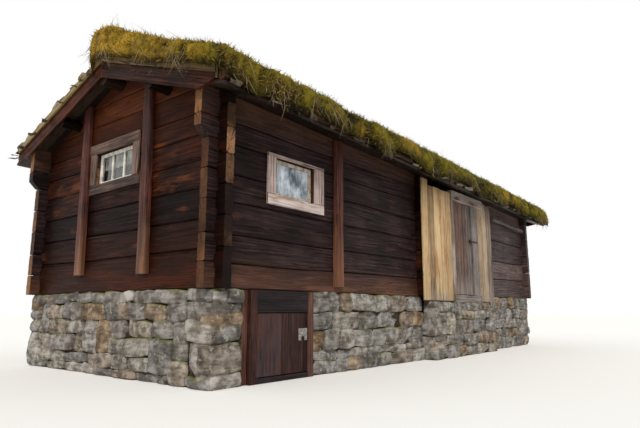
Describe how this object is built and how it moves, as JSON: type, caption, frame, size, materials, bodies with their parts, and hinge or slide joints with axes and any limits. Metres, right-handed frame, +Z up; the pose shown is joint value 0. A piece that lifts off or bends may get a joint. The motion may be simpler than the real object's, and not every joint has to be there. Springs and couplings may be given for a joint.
{
  "type": "log cabin with turf roof",
  "caption": "Log cabin with notched corners, a board-clad passage between two rooms, a turf roof and a stone base with a cellar door.",
  "frame": {"origin": "middle of the whole outline, at the foot of the stone base", "axes": "+X along the front wall to the viewer's right, +Y into the building from the front wall, +Z up"},
  "size_m": [10.5488, 5.03, 4.4257],
  "materials": {
    "stone": "split field stone laid dry",
    "dark_log": "tarred and weathered log",
    "red_log": "tarred log worn to reddish brown",
    "floor_wood": "bare floor boards",
    "grey_wood": "bare wood weathered grey",
    "white_paint": "worn white oil paint on wood",
    "glass": "window glass",
    "brace_wood": "red-brown hewn timber",
    "straw_board": "new unpainted boards",
    "door_wood": "brown weathered planks",
    "iron": "rusty wrought iron",
    "pale_iron": "galvanised fitting",
    "cellar_wood": "dark purple-brown planks",
    "roof_wood": "rough roof timber",
    "barge_wood": "red-brown barge boards",
    "turf": "turf with moss and grass"
  },
  "bodies": {
    "cabin": {"base_near_gable": "stone", "base_front": "stone", "base_passage": "stone", "base_far_front": "stone", "base_far_gable": "stone", "base_back": "stone", "base_cross_walls": "stone", "front_wall": "dark_log", "near_gable_wall": "red_log", "back_wall": "dark_log", "main_cross_wall": "dark_log", "far_front_wall": "dark_log", "far_cross_wall": "dark_log", "far_gable_wall": "dark_log", "floors": "floor_wood", "front_window_casing": "grey_wood", "front_window_sash": "white_paint", "front_window_glass": "glass", "gable_window_casing": "grey_wood", "gable_window_sash": "white_paint", "gable_window_glass": "glass", "front_brace": "brace_wood", "gable_braces": "brace_wood", "passage_boards_left": "straw_board", "passage_boards_right": "straw_board", "passage_boards_back": "straw_board", "passage_rails": "dark_log", "door_frame": "grey_wood", "cellar_frame": "cellar_wood", "eave_pole": "grey_wood", "ridge_purlin": "roof_wood", "side_purlins": "roof_wood", "roof_deck_front": "roof_wood", "roof_deck_back": "roof_wood", "barge_boards_near": "barge_wood", "barge_boards_far": "barge_wood", "eave_logs": "roof_wood", "turf_front": "turf", "turf_back": "turf"},
    "passage_door": {"door_leaf": "door_wood", "door_latch": "iron"},
    "cellar_door": {"cellar_door_leaf": "cellar_wood", "cellar_hasp": "pale_iron"}
  },
  "joints": [
    {"name": "passage_door_hinge", "type": "hinge", "parent": "cabin", "child": "passage_door", "pos_m": [0.54119, -2.1653, 1.058], "axis": [0, 0, -1], "range_deg": [0, 100]},
    {"name": "cellar_door_hinge", "type": "hinge", "parent": "cabin", "child": "cellar_door", "pos_m": [-4.22381, -2.037, 0.068], "axis": [0, 0, -1], "range_deg": [0, 100]}
  ]
}
